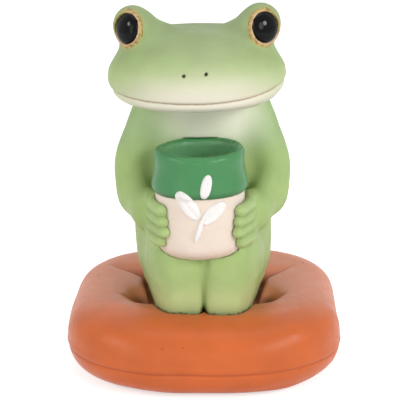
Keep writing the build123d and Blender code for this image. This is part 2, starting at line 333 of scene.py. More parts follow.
def nostril_rise(q):
    """Height above the line through the nostrils."""
    x, _, z = q.T
    return z - nostril[2] - nostril_slope * x


def skull_field(q):
    x, y, z = q.T
    a, front, back = look_up(z, head_table)
    d = ellipse_2d(x, y - (back - front) / 2, a, (back + front) / 2)
    d = smax(d, z - crown_level, crown_round)
    return smax(d, jaw_level - z, jaw_round)


def add_lips(d, q):
    """Steps the lower lip back, swells it and cuts the mouth line."""
    s = mouth_offset(q)
    ahead = smooth(*face_edge, q[:, 1])
    step = lip_step * smooth(lip_step_half, -lip_step_half, s)
    d = d + ahead * (step - lip_swell * bell(s + lip_swell_drop, lip_swell_half))
    return d + ahead * mouth_depth * bell(s, mouth_half)


def add_eye(d, q, side):
    """Raises the bulge and brow, and cuts the socket inside its rim."""
    bulge = smin(ball(q, bulges[side], bulge_radius), ball(q, crests[side], crest_radius), bulge_blend)
    brow = limb(q, crests[side], brows[side], crest_radius, brow_radius)
    d = smin(d, smin(brow, bulge, bulge_blend), brow_blend)
    r, along = eye_coordinates(q, side)
    rim = np.hypot(r - eye_radius - rim_out, along + rim_sink) - rim_radius
    d = smin(d, rim, rim_blend)
    socket = np.maximum(r - eye_radius, -socket_depth - along)
    return smax(d, -socket, socket_edge)


def head_field(p):
    q = head_local(p)
    d = add_lips(skull_field(q), q)
    for side in SIDES:
        d = add_eye(d, q, side)
        hole = np.hypot(q[:, 0] - side * nostril[0], nostril_rise(q)) - nostril_radius
        d = d + nostril_depth * smooth(*nostril_edge, hole) * smooth(*nostril_fade, q[:, 1])
    return d


# Arms: joints on the frog's left, fingers by height on the cup and angle round it
arm_joints = np.array([
    (torso_side - 3.1, 1.9, lap + 21.6),
    (torso_side - 1.5, 1.7, lap + 18.0),
    (torso_side + 0.25, 1.5, lap + 12.2),
    (torso_side - 0.2, 0.4, lap + 6.8),
])
arm_radii = [2.3, 2.9, 3.15, 3.2]
forearm_radii = (2.7, 2.35)
forearm_tall = np.array([1.0, 1.0, 0.74])  # squeezed upright, so that the forearm is taller than wide
elbow_blend = 1.6
wrist_out, wrist_back, wrist_level = 9.0, 3.4, 5.5
palm_out, palm_back, palm_level = 8.1, 3.4, 5.4
palm_radii = (1.6, 3.2, 3.7)
hand_blend = 1.0
finger_levels = [2.85, 4.5, 6.2, 7.9]
finger_tips = [33, 40, 38, 36]
finger_roots = (-16, 8)
finger_radius = 1.15
finger_thinning = 0.12
finger_out = 0.5
finger_blend = 0.2
web_end = 24
web_out = 7.6
web_half = 0.5
web_level, web_half_height = 5.4, 2.6
web_round = 0.4
web_blend = 0.25


def finger_fields(p, side):
    """Four fingers laid round the cup."""
    fingers = []
    reach = cup_radius + finger_out
    for level, tip in zip(finger_levels, finger_tips):
        points = []
        for angle in (*finger_roots, tip):
            turn = math.radians(angle)
            x = cup_shift + side * reach * math.cos(turn)
            points.append((x, cup_axis_y - reach * math.sin(turn), lap + level))
        back = limb(p, points[0], points[1], finger_radius, finger_radius)
        front = limb(p, points[1], points[2], finger_radius, finger_radius - finger_thinning)
        fingers.append(np.minimum(back, front))
    return fingers


def hand_field(p, side):
    """The fingers, with the web between them."""
    hand, *others = finger_fields(p, side)
    for finger in others:
        hand = smin(hand, finger, finger_blend)
    q = cup_local(p)
    web = np.abs(np.hypot(q[:, 0], q[:, 1]) - web_out) - web_half
    round_cup = np.arctan2(-q[:, 1], side * q[:, 0])
    web = smax(web, (round_cup - math.radians(web_end)) * web_out, web_round)
    web = smax(web, np.abs(q[:, 2] - web_level) - web_half_height, web_round)
    return smin(hand, web, web_blend)


def arm_field(p, side):
    joints = list(arm_joints * np.array([side, 1, 1]) + np.array([body_shift, 0, 0]))
    d = chain(p, joints, arm_radii)
    wrist = np.array([cup_shift + side * wrist_out, cup_axis_y + wrist_back, lap + wrist_level])
    forearm = limb(p * forearm_tall, joints[-1] * forearm_tall, wrist * forearm_tall, *forearm_radii)
    d = smin(d, forearm, elbow_blend)
    palm = np.array([cup_shift + side * palm_out, cup_axis_y + palm_back, lap + palm_level])
    d = smin(d, ellipsoid(p, palm, palm_radii), hand_blend)
    return smin(d, hand_field(p, side), hand_blend)


# Legs: a rounded block from knee to hip, with haunch, fold and foot
hip_places = {1: 7.2, -1: 6.8}
knee_places = {1: 3.9, -1: 4.1}
knee_front = -14.6
leg_back = 9.7
leg_middle = (seat + lap) / 2 + 1.5
leg_above, leg_below = 7.0, 9.5
leg_half_width, leg_widening = 3.7, 0.5
leg_line_bend = 1.6
leg_inner_lap = 0.5
leg_flare, leg_flare_start, leg_flare_limit = 0.22, 1.2, 5
notch_depth = 0.36
notch_range = (seat + 3.2, seat + 0.4)
inner_power, plan_power, block_power = 3, 2.6, 3.6
plan_floor = 1e-6
block_size = 4.0
sole = seat - 0.6
sole_round = 0.8
haunch_inset, haunch_back, haunch_drop = 0.6, 4.8, 0.8
haunch_radii = (3.9, 6.4, 5.8)
haunch_blend = 2.0
fold_level, fold_curve, fold_middle = seat + 3.4, 0.025, 2.0
fold_half, fold_depth = 0.5, 0.55
fold_front, fold_rear, fold_side = (-2.0, 4.0), (13.0, 8.0), (2.0, 5.0)
heel_place = (5.2, 8.6, seat + 2.5)
toes_place = (5.2, 12.6, seat + 1.5)
heel_radius, toes_radius = 2.7, 1.7
toe_offset = np.array([0.5, -0.4, -0.3])
toe_splay, toe_turn = 24, 6
toe_length, toe_rise = 3.4, 0.06
toe_radii = (1.05, 0.8)
toe_pad = 1.15
toe_blend = 0.5
foot_blend = 0.8


def leg_block(p, side):
    x, y, z = p.T
    t = np.clip((y - knee_front) / (leg_back - knee_front), 0, 1)
    line = side * (knee_places[side] + (hip_places[side] - knee_places[side]) * t**leg_line_bend)
    across = (x - line) * side
    flare = leg_flare * np.clip(z - seat - leg_flare_start, 0, leg_flare_limit)
    notch = notch_depth * smooth(*notch_range, z)
    outer = leg_half_width + leg_widening * t + flare
    wide = np.where(across > 0, outer, np.abs(line) + leg_inner_lap - notch)
    share = np.abs(across) / wide
    share = np.where(across > 0, share, share**inner_power)
    along = np.abs(y - (knee_front + leg_back) / 2) / ((leg_back - knee_front) / 2)
    plan = (share**plan_power + along**plan_power + plan_floor) ** (1 / plan_power)
    rise = z - leg_middle
    rise = np.where(rise > 0, rise / leg_above, -rise / leg_below)
    d = ((plan**block_power + rise**block_power) ** (1 / block_power) - 1) * block_size
    return smax(d, sole - z, sole_round)


def foot_field(p, side):
    mirror = np.array([side, 1, 1])
    toes = np.array(toes_place) * mirror
    foot = limb(p, np.array(heel_place) * mirror, toes, heel_radius, toes_radius)
    for place in (-1, 0, 1):
        turn = math.radians(toe_splay * place + toe_turn * side)
        start = toes + toe_offset * np.array([place, 1, 1])
        tip = start + np.array([math.sin(turn), math.cos(turn), toe_rise]) * toe_length
        toe = smin(limb(p, start, tip, *toe_radii), ball(p, tip, toe_pad), toe_blend)
        foot = smin(foot, toe, toe_blend)
    return foot


def leg_field(p, side):
    x, y, z = p.T
    haunch = np.array([hip_places[side] - haunch_inset, haunch_back, leg_middle - haunch_drop])
    haunch = ellipsoid(p, haunch * np.array([side, 1, 1]), haunch_radii)
    d = smin(leg_block(p, side), haunch, haunch_blend)
    fold = bell(fold_level + fold_curve * (y - fold_middle) ** 2 - z, fold_half)
    fold = fold * smooth(*fold_front, y) * smooth(*fold_rear, y)
    d = d + fold_depth * fold * smooth(*fold_side, x * side)
    return smin(d, foot_field(p, side), foot_blend)


# The whole frog
knee_blend, thigh_blend = 0.5, 0.8
thigh_range = (seat + 2.5, lap - 2.5)
lap_blend = 3.0
arm_blend, elbow_melt, shoulder_melt, flank_melt = 1.2, 0.5, 0.7, 1.2
elbow_range, shoulder_range = (lap + 6, lap + 9), (lap + 9, lap + 19)
flank_out, flank_range = (9.5, 11.5), (lap + 5, lap + 1)
chin_blend, nape_blend, nape_range = 0.7, 1.8, (0.0, 5.0)
skin_wobble, skin_wobble_size, skin_wobble_seed = 0.035, 9.0, 2.0
grip_clearance, grip_edge = 0.03, 0.12


def body_field(p):
    z = p[:, 2]
    knees = knee_blend + thigh_blend * smooth(*thigh_range, z)
    d = smin(trunk_field(p), smin(leg_field(p, 1), leg_field(p, -1), knees), lap_blend)
    outside = smooth(*flank_out, np.abs(p[:, 0] - body_shift)) * smooth(*flank_range, z)
    melt = arm_blend + elbow_melt * smooth(*elbow_range, z) + shoulder_melt * smooth(*shoulder_range, z)
    for side in SIDES:
        d = smin(d, arm_field(p, side), melt + flank_melt * outside)
    return d


def frog_field(p):
    d = smin(body_field(p), head_field(p), chin_blend + nape_blend * smooth(*nape_range, p[:, 1]))
    d = d + skin_wobble * wobble(p, skin_wobble_size, skin_wobble_seed)
    return smax(d, grip_clearance - cup_field(p), grip_edge)


# Cushion: inset from the widest outline and corner radius, by share of the height
seam_height = 4.4
cushion_share = [0.0, 0.035, 0.09, 0.2, 0.32, 0.42, 0.52, 0.62, 0.72, 0.8, 0.88, 0.94, 0.98, 1.0]
cushion_inset = [4.0, 2.6, 1.55, 0.6, 0.15, 0.0, 0.0, 0.1, 0.5, 1.1, 2.1, 3.5, 5.2, 7.4]
cushion_corner = [16.5] * 8 + [16.2, 15.7, 14.6, 13.2, 11.5, 9.5]
cushion_table = profile([s * cushion_top for s in cushion_share], cushion_inset, cushion_corner)
pleats = [
    ((-8.6, -6.2), (-14.6, -4.2), 1.25, 3.3),
    ((8.8, -6.2), (14.4, -3.4), 1.25, 3.3),
    ((-9.0, 7.0), (-17.5, 10.5), 1.9, 2.1),
    ((9.2, 6.0), (16.5, 10.5), 1.9, 2.1),
]  # start, end, breadth, depth
pleat_start = (-4.0, -1.0)
pleat_steep, pleat_gentle = 0.6, 1.25
pleat_tip_share = 0.4
pits = [(-10.4, -3.8), (10.4, -3.6)]
pit_radii = np.array([2.0, 2.0 * 1.5])
pit_depth = 1.6
dish_radius = 17.0
dish_depth = 2.0
dish_ball = (dish_radius**2 + dish_depth**2) / (2 * dish_depth)
dish_round = 2.0
crown_edge = 2.2
side_slope = 0.9
moat_depth, moat_search = 3.4, 5.5
moat_width, moat_reach = 0.6, 18
moat_front, moat_rear = (-9.5, -4.0), (11.0, 6.0)
moat_round, moat_blend = 0.6, 0.8
puff_ring, puff_width, puff_height = 15.5, 3.4, 0.35
puff_stretch, puff_turn = 1.06, 0.3
seam_climb, seam_sway = 0.5, 0.08
seam_sway_x, seam_sway_y = 0.5, 0.37
seam_depth, seam_half = 0.22, 0.22
welt_height, welt_half, welt_rise = 0.1, 0.45, 0.7
cushion_wobble, cushion_wobble_size, cushion_wobble_seed = 0.06, 13.0, 4.0
wobble_range = (0.3, 2.5)
underside_round = 0.7
high_range = (4.5, 8.5)
right_range, rear_range, corner_range = (-9, 9), (-4, 17), (6, 18)
rear_fullness, corner_fullness = 0.4, 0.25
foot_skews = [(-11, 0.2), (13, -0.5)]  # place across the front, change of inset
foot_skew_half, foot_skew_range = 4, (2.0, 0.3)
rear_inset_left, rear_inset_right = 0.9, 0.2
flank_bulge, flank_place, flank_half = 0.35, 9, 5
puff_base, puff_swing, puff_lobes = 0.7, 0.3, 4


def seam_level(p):
    """Height of the seam line: it climbs a little at the corners."""
    x, y, _ = p.T
    corner = np.abs(x / cushion_half[0]) * np.abs(y / cushion_half[1])
    sway = seam_sway * np.sin(x * seam_sway_x) * np.cos(y * seam_sway_y)
    return seam_height + seam_climb * corner + sway


def pleat_depth(p):
    """Valleys pulled in towards the frog's knees and hips, steeper on their front sides."""
    depth = np.zeros(len(p))
    for start, end, broad, deep in pleats:
        run = np.array(end) - np.array(start)
        reach = np.linalg.norm(run)
        run /= reach
        from_start = p[:, :2] - np.array(start)
        along = from_start @ run
        beside = from_start[:, 1] * run[0] - from_start[:, 0] * run[1]
        fade = smooth(reach, 0.0, along) * smooth(*pleat_start, along)
        steep = np.where(beside * run[0] < 0, pleat_steep, pleat_gentle)
        half = steep * broad * (pleat_tip_share + (1 - pleat_tip_share) * fade)
        depth = depth + deep * fade * bell(beside, half)
    return depth


def pit_share(p):
    """The two hollows beside the knees, 1 at their middles."""
    share = np.zeros(len(p))
    for place in pits:
        away = (p[:, :2] - np.array(place)) / pit_radii
        share = share + np.exp(-((away**2).sum(axis=1)))
    return share


def moat_field(p):
    """The gap the cushion leaves beside the legs."""
    out = np.full(len(p), FAR)
    near = (p[:, 2] > cushion_top - moat_search) & (np.hypot(p[:, 0], p[:, 1]) < moat_reach)
    at = p[near]
    gap = moat_width * smooth(*moat_front, at[:, 1]) * smooth(*moat_rear, at[:, 1])
    out[near] = smax(body_field(at) - gap, cushion_top - moat_depth - at[:, 2], moat_round)
    return out


def cushion_outline(p, high):
    """The cushion's upright sides: a rounded rectangle, uneven as a hand-made one is."""
    x, y, z = p.T
    z = np.clip(z, 0, cushion_top)
    inset, corner = look_up(z, cushion_table)
    right, rear = smooth(*right_range, x), smooth(*rear_range, y)
    fuller_rear = 1 - rear_fullness * rear * high
    fuller_corner = 1 - corner_fullness * smooth(*corner_range, x) * (1 - rear) * high
    inset = inset * fuller_rear * fuller_corner
    foot_skew = sum(size * bell(x - place, foot_skew_half) for place, size in foot_skews)
    inset = inset + foot_skew * (1 - rear) * smooth(*foot_skew_range, z)
    inset = inset + (rear_inset_left * (1 - right) + rear_inset_right * right) * rear
    flank = flank_bulge * right * bell(y - flank_place, flank_half)
    qx = np.abs(x) - (cushion_half[0] - inset + flank) + corner
    qy = np.abs(y) - (cushion_half[1] - inset) + corner
    return np.hypot(np.maximum(qx, 0), np.maximum(qy, 0)) + np.minimum(np.maximum(qx, qy), 0) - corner


def cushion_field(p):
    x, y, z = p.T
    high = smooth(*high_range, np.clip(z, 0, cushion_top))
    d = smax(cushion_outline(p, high) * side_slope, z - cushion_top, crown_edge)
    dish = ball(p, (0, 0, cushion_top - dish_depth + dish_ball), dish_ball)
    d = smax(d, -dish, dish_round)
    ring = np.hypot(x * puff_stretch, y)
    around = np.arctan2(y, x)
    puff = puff_base + puff_swing * np.cos(puff_lobes * around + puff_turn)
    d = d - puff_height * puff * bell(ring - puff_ring, puff_width) * high
    d = d + (pleat_depth(p) + pit_depth * pit_share(p)) * high
    d = smax(d, -moat_field(p), moat_blend)
    rise = z - seam_level(p)
    d = d + seam_depth * bell(rise, seam_half) - welt_height * bell(rise - welt_rise, welt_half)
    uneven = wobble(p, cushion_wobble_size, cushion_wobble_seed)
    d = d + cushion_wobble * uneven * smooth(*wobble_range, z)
    return smax(d, -z, underside_round)


# Meshing: one point in each grid cell that the surface crosses, and a quad round each crossed grid edge
cube_corners = [(i, j, k) for i in (0, 1) for j in (0, 1) for k in (0, 1)]
sample_block = 4
sample_margin = 1.0
half_diagonal = 0.87
settle_steps = 4
settle_limit = 0.6
slope_floor = 0.2
pinch_share = 0.2


def in_chunks(field, p, size=200000):
    return np.concatenate([field(p[n:n + size]) for n in range(0, len(p), size)])


def gradient(field, p, eps=0.03):
    out = np.zeros_like(p)
    for axis in range(3):
        step = np.zeros(3)
        step[axis] = eps
        out[:, axis] = (in_chunks(field, p + step) - in_chunks(field, p - step)) / (2 * eps)
    return out


def spread(values):
    """Each value repeated over its block of grid points."""
    for axis in range(3):
        values = np.repeat(values, sample_block, axis)
    return values


def sample(field, low, high, cell):
    """A field on a grid: exact near the surface, one value a block elsewhere."""
    block = cell * sample_block
    count = np.ceil((np.array(high, float) - low) / block).astype(int) + 1
    middle = (sample_block - 1) / 2
    lines = [low[n] + (np.arange(count[n]) * sample_block + middle) * cell for n in range(3)]
    centres = np.stack(np.meshgrid(*lines, indexing="ij"), axis=-1).reshape(-1, 3)
    coarse = in_chunks(field, centres).reshape(count)
    near = spread(np.abs(coarse) < block * half_diagonal + sample_margin)
    values = spread(coarse)
    values[near] = in_chunks(field, low + np.argwhere(near) * cell)
    return values


def cell_points(values):
    """A point in each crossed cell, counted in cells, and each cell's number."""
    inside = values < 0
    corners = np.zeros(np.array(values.shape) - 1, int)
    nx, ny, nz = corners.shape
    for i, j, k in cube_corners:
        corners += inside[i:i + nx, j:j + ny, k:k + nz]
    active = (corners > 0) & (corners < len(cube_corners))
    cells = np.argwhere(active)
    number = np.full(active.shape, -1)
    number[active] = np.arange(len(cells))
    total = np.zeros((len(cells), 3))
    hits = np.zeros(len(cells))
    for start in cube_corners:
        for axis in [axis for axis in range(3) if not start[axis]]:
            end = tuple(v + (n == axis) for n, v in enumerate(start))
            va = values[tuple((cells + start).T)]
            vb = values[tuple((cells + end).T)]
            cross = (va < 0) != (vb < 0)
            t = va[cross] / (va[cross] - vb[cross])
            total[cross] += np.array(start) + t[:, None] * (np.array(end) - np.array(start))
            hits[cross] += 1
    return cells + total / hits[:, None], number


def cell_faces(inside, number):
    """A quad round each grid edge that the surface crosses, facing out."""
    quads = []
    limit = np.array(inside.shape) - 1
    unit = np.eye(3, dtype=int)
    for axis in range(3):
        u, v = [n for n in range(3) if n != axis]
        first = inside[tuple(slice(0, limit[n]) for n in range(3))]
        second = inside[tuple(slice(unit[axis][n], limit[n] + unit[axis][n]) for n in range(3))]
        edges = np.argwhere(first != second)
        edges = edges[(edges[:, u] > 0) & (edges[:, v] > 0)]
        ring = [edges - unit[u] - unit[v], edges - unit[v], edges, edges - unit[u]]
        quad = np.stack([number[tuple(r.T)] for r in ring], axis=1)
        outward = first[tuple(edges.T)]
        if axis == 1:
            outward = ~outward
        quad[~outward] = quad[~outward][:, ::-1]
        quads.append(quad)
    faces = np.concatenate(quads)
    return faces[(faces >= 0).all(axis=1)]


def settle(field, points, cell):
    """Moves points onto the surface."""
    limit = cell * settle_limit
    for _ in range(settle_steps):
        value, slope = in_chunks(field, points), gradient(field, points)
        step = value / np.maximum((slope**2).sum(axis=1), slope_floor)
        points = points - slope * np.clip(step, -limit, limit)[:, None]
    return points


def edges_of(faces):
    """Every face's edges, in the direction the face runs along them."""
    return np.stack([faces, np.roll(faces, -1, axis=1)], axis=-1).reshape(-1, 2)


def fans_at(vertex, faces, pinched):
    """The faces round a vertex, in groups that meet across edges with only two faces."""
    fans = []
    for face in np.flatnonzero((faces == vertex).any(axis=1)):
        ring = faces[face].tolist()
        n = ring.index(vertex)
        beside = {ring[n - 1], ring[(n + 1) % len(ring)]}
        beside = {v for v in beside if (min(vertex, v), max(vertex, v)) not in pinched}
        members = [face]
        for fan in [fan for fan in fans if fan[1] & beside]:
            fans.remove(fan)
            members = members + fan[0]
            beside = beside | fan[1]
        fans.append((members, beside))
    return [members for members, _ in fans]


def part_sheets(points, faces):
    """Gives two sheets of the surface that pinch together at an edge a vertex each."""
    edges, uses = np.unique(np.sort(edges_of(faces), axis=1), axis=0, return_counts=True)
    pinched = {tuple(edge) for edge in edges[uses > 2].tolist()}
    points = list(points)
    for vertex in sorted({v for edge in pinched for v in edge}):
        place = points[vertex]
        for n, members in enumerate(fans_at(vertex, faces, pinched)):
            near = np.unique(faces[members])
            middle = np.mean([points[v] for v in near[near != vertex]], axis=0)
            own = vertex if n == 0 else len(points)
            if own == len(points):
                points.append(place)
            points[own] = place + (middle - place) * pinch_share
            faces[members] = np.where(faces[members] == vertex, own, faces[members])
    return np.array(points), close_gaps(faces)


def close_gaps(faces):
    """Adds a quad to each ring of four open edges."""
    used = {tuple(edge) for edge in edges_of(faces).tolist()}
    onward = {b: a for a, b in sorted(used) if (b, a) not in used}
    while onward:
        ring = [min(onward)]
        while ring[-1] in onward:
            ring.append(onward.pop(ring[-1]))
        if len(ring) == 5:
            faces = np.concatenate([faces, [ring[:4]]])
    return faces


def sculpt(field, low, high, cell):
    """Closed quad mesh of a field's zero surface."""
    low = np.array(low, float)
    values = sample(field, low, high, cell)
    points, number = cell_points(values)
    faces = cell_faces(values < 0, number)
    return part_sheets(settle(field, low + points * cell, cell), faces)


def make_object(name, points, faces):
    """A smooth-shaded mesh object from points in millimetres."""
    mesh = bpy.data.meshes.new(name)
    mesh.from_pydata((np.asarray(points) * MM).tolist(), [], np.asarray(faces).tolist())
    mesh.update()
    mesh.polygons.foreach_set("use_smooth", [True] * len(mesh.polygons))
    obj = bpy.data.objects.new(name, mesh)
    bpy.context.scene.collection.objects.link(obj)
    return obj


def turned_faces(rings, sides):
    """Quads between rings of points."""
    faces = []
    for n in range(rings - 1):
        for k in range(sides):
            m = (k + 1) % sides
            faces.append((n * sides + k, n * sides + m, (n + 1) * sides + m, (n + 1) * sides + k))
    return faces


def weld(obj, distance=1e-6):
    """Joins points that coincide, such as a turned mesh's poles, and turns the faces out."""
    work = bmesh.new()
    work.from_mesh(obj.data)
    bmesh.ops.remove_doubles(work, verts=work.verts, dist=distance)
    bmesh.ops.recalc_face_normals(work, faces=work.faces)
    work.to_mesh(obj.data)
    work.free()
    obj.data.polygons.foreach_set("use_smooth", [True] * len(obj.data.polygons))


def set_fields(obj, fields):
    """Numbers at each vertex, for the material."""
    for name, values in fields.items():
        layer = obj.data.attributes.new(name, "FLOAT", "POINT")
        layer.data.foreach_set("value", np.asarray(values, np.float32))


# Materials: a mottle is a size and a range of tone, a grain is a size, a depth and a range of roughness
MIX_UNDER, MIX_OVER, MIX_COLOUR = 6, 7, 2  # a colour mix node's sockets
NOISE_LOW, NOISE_HIGH = 0.3, 0.7


def linear(rgb):
    """Scene-linear colour from an sRGB one in 0 to 255."""
    out = []
    for v in rgb:
        v = v / 255
        out.append(v / 12.92 if v <= 0.04045 else ((v + 0.055) / 1.055) ** 2.4)
    return (*out, 1.0)


class Paint:
    """A principled material whose colour is layered up from fields and noise."""

    def __init__(self, name, base, specular):
        self.material = bpy.data.materials.new(name)
        self.material.use_nodes = True
        self.tree = self.material.node_tree
        self.shader = self.tree.nodes["Principled BSDF"]
        self.shader.inputs["Specular IOR Level"].default_value = specular
        self.base = linear(base)
        self.colour = None
        self.coordinates = self.tree.nodes.new("ShaderNodeTexCoord").outputs["Object"]

    def link(self, a, b):
        self.tree.links.new(a, b)

    def field(self, name):
        node = self.tree.nodes.new("ShaderNodeAttribute")
        node.attribute_name = name
        return node.outputs["Fac"]

    def ramp(self, value, low, high, to_low=0.0, to_high=1.0):
        node = self.tree.nodes.new("ShaderNodeMapRange")
        node.interpolation_type = "SMOOTHSTEP"
        for key, v in (("From Min", low), ("From Max", high), ("To Min", to_low), ("To Max", to_high)):
            node.inputs[key].default_value = v
        self.link(value, node.inputs["Value"])
        return node.outputs["Result"]

    def math(self, operation, a, b):
        node = self.tree.nodes.new("ShaderNodeMath")
        node.operation = operation
        for socket, v in zip(node.inputs, (a, b)):
            if isinstance(v, (int, float)):
                socket.default_value = v
            else:
                self.link(v, socket)
        return node.outputs[0]

    def product(self, a, b):
        return self.math("MULTIPLY", a, b)

    def noise(self, size, detail=3.0, roughness=0.55):
        """Noise of about this feature size in millimetres."""
        node = self.tree.nodes.new("ShaderNodeTexNoise")
        node.inputs["Scale"].default_value = 1 / (size * MM)
        node.inputs["Detail"].default_value = detail
        node.inputs["Roughness"].default_value = roughness
        self.link(self.coordinates, node.inputs["Vector"])
        return node.outputs["Fac"]

    def jitter(self, size, amount):
        """Noise about zero, to make a painted edge uneven."""
        return self.product(self.math("SUBTRACT", self.noise(size), 0.5), amount)

    def mix(self):
        """A mix node over the colour so far."""
        node = self.tree.nodes.new("ShaderNodeMix")
        node.data_type = "RGBA"
        if self.colour is None:
            node.inputs[MIX_UNDER].default_value = self.base
        else:
            self.link(self.colour, node.inputs[MIX_UNDER])
        self.colour = node.outputs[MIX_COLOUR]
        return node

    def band(self, value, rise, fall):
        """1 where a value lies between a rising and a falling edge."""
        return self.product(self.ramp(value, *rise), self.ramp(value, *fall))

    def layer(self, mask, rgb):
        """A coat of one colour where the mask is 1."""
        node = self.mix()
        self.link(mask, node.inputs["Factor"])
        node.inputs[MIX_OVER].default_value = linear(rgb)

    def tint(self, name, low, high, share, rgb):
        """A coat that comes in as a field goes from low to high."""
        self.layer(self.ramp(self.field(name), low, high, 0.0, share), rgb)

    def mottle(self, size, low, high):
        """Slight unevenness in the coat's tone."""
        node = self.mix()
        node.blend_type = "MULTIPLY"
        node.inputs["Factor"].default_value = 1.0
        self.link(self.ramp(self.noise(size), NOISE_LOW, NOISE_HIGH, low, high), node.inputs[MIX_OVER])

    def surface(self, bump_size, bump_depth, rough_low, rough_high):
        """Uneven gloss and a fine grain, and the finished material."""
        self.link(self.colour, self.shader.inputs["Base Color"])
        rough = self.ramp(self.noise(bump_size * 3), NOISE_LOW, NOISE_HIGH, rough_low, rough_high)
        self.link(rough, self.shader.inputs["Roughness"])
        bump = self.tree.nodes.new("ShaderNodeBump")
        bump.inputs["Strength"].default_value = 1.0
        bump.inputs["Distance"].default_value = bump_depth * MM
        self.link(self.noise(bump_size, 4.0), bump.inputs["Height"])
        self.link(bump.outputs["Normal"], self.shader.inputs["Normal"])
        return self.material


# Frog skin: fields for the paint, then the coats in order
head_range, head_skin, head_skin_half = (-0.4, 0.6), 0.3, 0.6
mouth_end_lift, mouth_end = 1.5, (1.5, 4.5)
face_range, crown_range, nostril_behind = (3.5, -3.0), (4.0, 12.0), (-4, 0)
muzzle_level, muzzle_fade, muzzle_range = 2.2, 4.8, (7.0, -7.0)
muzzle_middle, muzzle_half, muzzle_power = 1.0, 15.0, 2.5
chest_range, chest_levels = (3.0, -3.0), (lap + 10, lap + 22)
chest_middle, chest_half = 1.5, 9.0
recess_reach, recess_range = 2.6, (2.0, -2.0)
recess_level, recess_half = lap + 10.5, 4.6
knee_range, knee_levels = (-4.0, -11.0), (lap - 1.5, seat + 1.5)
shoulder_levels = (lap + 11.0, lap + 19.0)
wrist_range = (cup_axis_y + 4.0, cup_axis_y + 1.5)
groove_half, groove_skin = 0.3, (0.5, 0.2)
knuckle_range, knuckle_skin = (0.5, 1.3), (0.3, 0.05)
nook_level, nook_half = lap + 9.7, 0.9
nook_reach, nook_side = (1.5, 0.2), (-2.0, 2.0)
above_hand, above_hand_levels = 2, (lap + 9, lap + 10)
below_hand, below_hand_levels = 0.3, (lap + 1.8, lap + 0.8)


def head_share(p, q):
    """1 on the head, 0 on the body."""
    near = smooth(head_skin_half, -head_skin_half, head_field(p) - head_skin)
    return smooth(*head_range, q[:, 2]) * near


def face_fields(q, in_head):
    x, y, z = q.T
    mouth = mouth_offset(q) + mouth_end_lift * smooth(*mouth_end, y)
    eye_distance = np.full(len(q), FAR)
    for side in SIDES:
        r, along = eye_coordinates(q, side)
        eye_distance = np.minimum(eye_distance, np.hypot(np.maximum(r - eye_radius, 0), along))
    nostril_distance = np.hypot(np.abs(x) - nostril[0], nostril_rise(q))
    muzzle = bell(np.maximum(z - muzzle_level, 0), muzzle_fade) * smooth(*muzzle_range, y)
    muzzle_side = np.abs((x - muzzle_middle) / muzzle_half) ** muzzle_power
    return {
        "mouth": np.where(in_head > 0.5, mouth, FAR),
        "ahead": smooth(*face_range, y),
        "eye": eye_distance,
        "nostril": nostril_distance + smooth(*nostril_behind, y) * FAR,
        "muzzle": muzzle * in_head * np.exp(-muzzle_side),
        "crown": in_head * smooth(*crown_range, z),
    }


def body_fields(p, in_head):
    x, y, z = p.T
    chest_front = smooth(*chest_range, y) * smooth(*chest_levels, z)
    arms = np.minimum(arm_field(p, 1), arm_field(p, -1))
    recess = bell(arms, recess_reach) * bell(trunk_field(p), recess_reach)
    return {
        "chest": chest_front * bell(x - chest_middle, chest_half) * (1 - in_head),
        # painted shade: 1 in the recess between arm and trunk, beside the cup
        "recess": recess * bell(z - recess_level, recess_half) * smooth(*recess_range, y),
        "knee": smooth(*knee_range, y) * smooth(*knee_levels, z),
        "shoulder": smooth(*shoulder_levels, z) * (1 - in_head),
        "floor_gap": cushion_field(p),
    }


def hand_fields(p):
    x, y, z = p.T
    nearest, second, *_ = np.sort(finger_fields(p, 1) + finger_fields(p, -1), axis=0)
    between = second - nearest
    ahead_of_wrist = smooth(*wrist_range, y)
    cup_gap = cup_field(p)
    off_hand = above_hand * smooth(*above_hand_levels, z) + below_hand * smooth(*below_hand_levels, z)
    return {
        # painted shade between the fingers and painted highlight on their crests
        "groove": bell(between, groove_half) * smooth(*groove_skin, nearest) * ahead_of_wrist,
        "knuckle": smooth(*knuckle_range, between) * smooth(*knuckle_skin, nearest) * ahead_of_wrist,
        "nook": bell(z - nook_level, nook_half) * smooth(*nook_reach, cup_gap) * smooth(*nook_side, x),
        "grip_gap": cup_gap + off_hand,
    }


# A coat is a field, the edge over which it comes in, its share and its colour
skin_green = (164, 187, 121)
skin_specular, skin_mottle, skin_grain = 0.13, (4.0, 0.95, 1.04), (0.5, 0.02, 0.4, 0.52)
skin_tones = [
    ("crown", 0.0, 1.0, 0.85, (147, 163, 119)),
    ("shoulder", 0.0, 1.0, 0.6, (157, 181, 137)),
    # pale knees, fading out towards the lap as painted shade under the cup
    ("knee", 0.0, 1.0, 0.9, (190, 208, 146)),
]
skin_shades = [
    # the figure's own pale chest and throat, made lighter as painted light where the head's shade falls
    ("chest", 0.05, 0.8, 0.95, (230, 231, 209)),
    ("muzzle", 0.0, 0.95, 1.0, (228, 221, 203)),
    # painted shade: dark olive in the recess between the arms and the trunk
    ("recess", 0.05, 0.85, 0.15, (106, 112, 62)),
    # painted highlight on the finger crests, and painted shade in the grooves between the fingers
    ("knuckle", 0.0, 1.0, 0.5, (182, 204, 142)),
    ("groove", 0.1, 1.0, 0.45, (116, 138, 78)),
]
nostril_coat = ("nostril", 0.38, 0.22, 1.0, (66, 60, 40))
